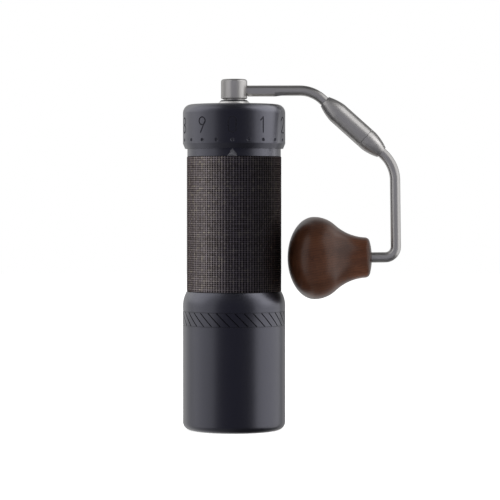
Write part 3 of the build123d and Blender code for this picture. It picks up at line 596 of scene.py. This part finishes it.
def buildFloor():
    form = bmesh.new()
    bmesh.ops.create_circle(form, cap_ends=True, segments=96, radius=studio["floorRadius"])
    bmesh.ops.translate(form, verts=form.verts, vec=(0, 0, -studio["floorDrop"]))
    mesh = bpy.data.meshes.new("floor")
    form.to_mesh(mesh)
    form.free()
    floor = bpy.data.objects.new("floor", mesh)
    scene.collection.objects.link(floor)
    floor.visible_glossy = False
    floor.visible_shadow = False
    material, tree, shader = newMaterial("floorPaper", Roughness=0.9, Specular_IOR_Level=0.0)
    shader.inputs["Base Color"].default_value = colour(*studio["floorColour"])
    seen = addNode(tree, "ShaderNodeLightPath").outputs["Is Camera Ray"]
    glow = addNode(tree, "ShaderNodeEmission", None, Color=colour(1, 1, 1),
                   Strength=calc(tree, "MULTIPLY", seen, studio["floorGlow"]))
    both = addNode(tree, "ShaderNodeAddShader")
    tree.links.new(shader.outputs[0], both.inputs[0])
    tree.links.new(glow.outputs[0], both.inputs[1])
    tree.links.new(both.outputs[0], tree.nodes["Material Output"].inputs["Surface"])
    mesh.materials.append(material)


def buildWorld():
    world = bpy.data.worlds.new("studioWorld")
    world.use_nodes = True
    scene.world = world
    tree = world.node_tree
    background = tree.nodes["Background"]
    background.inputs["Strength"].default_value = 1.0
    direction = addNode(tree, "ShaderNodeTexCoord").outputs["Generated"]
    split = addNode(tree, "ShaderNodeSeparateXYZ", None, Vector=direction)
    x, y, z = (split.outputs[axis] for axis in "XYZ")
    position = calc(tree, "MULTIPLY_ADD", y, 0.5, 0.5)
    ramps = {}
    for side in ("left", "right"):
        ramps[side] = rampOf(tree, position, [(0.5 + 0.5 * place, light) for place, light in studio[side]])
    around = mixColour(tree, fade(tree, x, *studio["middle"]), ramps["left"], ramps["right"])
    darkAbove = fade(tree, z, *studio["darkAbove"])
    darkBelow = fade(tree, calc(tree, "MULTIPLY", z, -1.0), *studio["darkBelow"])
    mirrored = scaled(tree, around, calc(tree, "MULTIPLY", darkAbove, darkBelow))
    path = addNode(tree, "ShaderNodeLightPath")
    shiny = calc(tree, "MAXIMUM", path.outputs["Is Glossy Ray"], path.outputs["Is Transmission Ray"])
    soft = studio["soft"]
    seen = mixColour(tree, path.outputs["Is Camera Ray"], colour(soft, soft, soft), colour(1, 1, 1))
    plug(tree, background.inputs["Color"], mixColour(tree, shiny, seen, mirrored))


# azimuth is counted from the front, + to the right, and every lamp faces the middle of the object;
# "spares" are pieces that a lamp leaves out, and a lamp with "only" lights nothing but those
joint = ["joint_sleeve", "joint_cap"]
steel = ["crank_hub", "upper_arm", "lower_arm"] + joint
lamps = {
    "leftBox": {"azimuth": -72.0, "elevation": 12.0, "width": 1.42, "tall": 2.4, "radiance": 0.54,
                "spares": ["crank_hub"]},
    "leftCore": {"azimuth": -72.0, "elevation": 12.0, "width": 0.80, "tall": 1.8, "radiance": 0.24,
                 "spares": steel},
    "leftUpper": {"azimuth": -100.0, "elevation": 40.0, "width": 1.4, "tall": 1.4, "radiance": 0.70,
                  "spares": ["gripWeave", "knob_wood"] + steel},
    "rightBox": {"azimuth": 88.0, "elevation": 12.0, "width": 1.80, "tall": 2.4, "radiance": 1.04,
                 "spares": ["gripWeave"] + joint},
    "rightCore": {"azimuth": 88.0, "elevation": 12.0, "width": 1.20, "tall": 1.8, "radiance": 0.50,
                  "spares": ["gripWeave"] + steel},
    "rightUpper": {"azimuth": 98.0, "elevation": 38.0, "width": 1.4, "tall": 1.5, "radiance": 1.40,
                   "spares": ["gripWeave", "knob_wood"] + steel},
    "hubLeft": {"azimuth": -54.0, "elevation": 12.0, "width": 0.9, "tall": 2.4, "radiance": 0.56,
                "only": ["crank_hub"]},
    "hubRight": {"azimuth": 104.0, "elevation": 12.0, "width": 1.3, "tall": 2.4, "radiance": 0.35,
                 "only": ["crank_hub"]},
    "jointStreak": {"azimuth": 67.0, "elevation": 42.0, "width": 0.9, "tall": 0.9, "radiance": 1.50,
                    "only": joint},
    "capEnd": {"azimuth": 76.0, "elevation": 4.0, "width": 0.8, "tall": 1.2, "radiance": 1.3,
               "only": ["joint_cap"]},
    "steelFill": {"azimuth": 2.0, "elevation": 15.0, "width": 2.2, "tall": 2.2, "radiance": 0.20,
                  "only": steel},
}
lampDistance = 1.1


def linkLamp(lamp, names, state):
    linked = bpy.data.collections.new(lamp.name + "Linked")
    for name in names:
        linked.objects.link(bpy.data.objects[name])
    for entry in linked.collection_objects:
        entry.light_linking.link_state = state
    lamp.light_linking.receiver_collection = linked


def buildLamps():
    middle = Vector((0, 0, cadBounds[1][2] / 2))
    for name, look in lamps.items():
        data = bpy.data.lights.new(name, "AREA")
        data.shape = "RECTANGLE"
        data.size, data.size_y = look["width"], look["tall"]
        data.energy = look["radiance"] * math.pi * look["width"] * look["tall"]
        lamp = bpy.data.objects.new(name, data)
        scene.collection.objects.link(lamp)
        around, up = math.radians(look["azimuth"]), math.radians(look["elevation"])
        toLamp = Vector((math.sin(around) * math.cos(up), -math.cos(around) * math.cos(up), math.sin(up)))
        lamp.location = middle + lampDistance * toLamp
        lamp.rotation_euler = (math.radians(90) - up, 0, around)
        lamp.visible_camera = False
        if "spares" in look:
            linkLamp(lamp, look["spares"], "EXCLUDE")
        if "only" in look:
            linkLamp(lamp, look["only"], "INCLUDE")


camera = {
    "azimuth": 2.0,
    "distance": 1.338,
    "height": 0.140,
    "lens": 164.2,
    "shift": (0.0318, -0.119),
}


def buildCamera():
    data = bpy.data.cameras.new("camera")
    data.sensor_width = 36.0
    data.lens = camera["lens"]
    data.shift_x, data.shift_y = camera["shift"]
    data.clip_start, data.clip_end = 0.05, 50.0
    view = bpy.data.objects.new("camera", data)
    scene.collection.objects.link(view)
    angle = math.radians(camera["azimuth"])
    reach = camera["distance"]
    view.location = (reach * math.sin(angle), -reach * math.cos(angle), camera["height"])
    view.rotation_euler = (math.radians(90), 0, angle)
    scene.camera = view


print("stage: floor, world, lamps and camera")
buildFloor()
buildWorld()
buildLamps()
buildCamera()
scene.view_settings.view_transform = "Standard"
